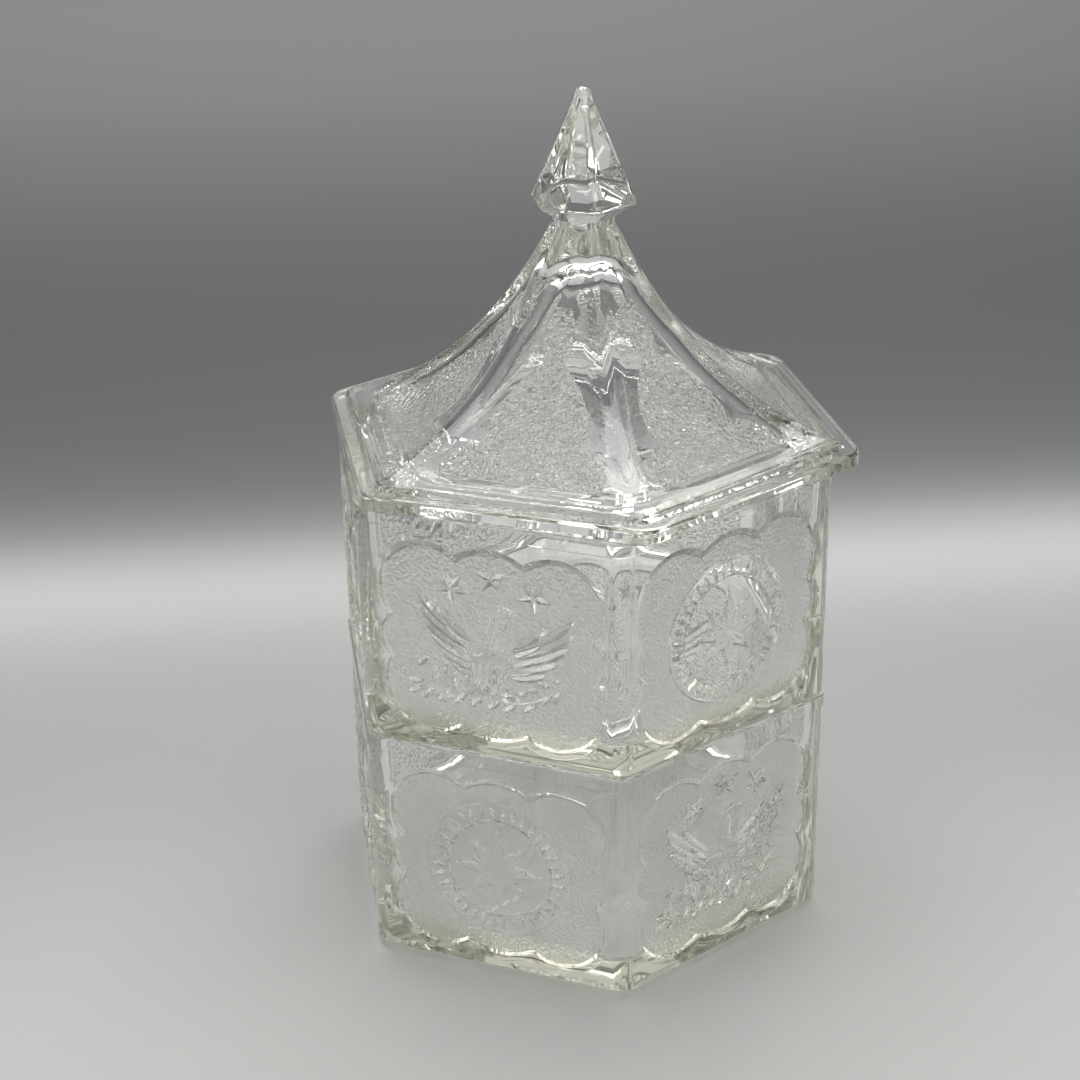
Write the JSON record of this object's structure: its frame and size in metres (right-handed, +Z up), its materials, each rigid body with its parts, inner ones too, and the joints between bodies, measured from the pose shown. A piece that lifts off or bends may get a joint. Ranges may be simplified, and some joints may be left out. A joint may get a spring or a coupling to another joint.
{
  "type": "candy box",
  "caption": "Hexagonal stacking candy box in clear pressed glass: a lower box, an upper box that nests on it, and a lift-off pagoda-roof lid with a faceted spire.",
  "frame": {"origin": "middle of the lower box's flat foot, on the surface that it stands on", "axes": "+Z up along the stacking axis; one corner of the hexagon points to the front along -Y; +X to the right seen from the front"},
  "size_m": [0.1455, 0.1629, 0.25],
  "materials": {
    "glass": "clear pressed glass, fire-polished, stippled inside the panels"
  },
  "bodies": {
    "lower_box": {"lower_box": "glass"},
    "upper_box": {"upper_box": "glass"},
    "lid": {"lid": "glass"}
  },
  "joints": [
    {"name": "upper_box_lift", "type": "slide", "parent": "lower_box", "child": "upper_box", "axis": [0, 0, 1], "range_m": [0, 0.1]},
    {"name": "lid_lift", "type": "slide", "parent": "upper_box", "child": "lid", "axis": [0, 0, 1], "range_m": [0, 0.1]}
  ]
}
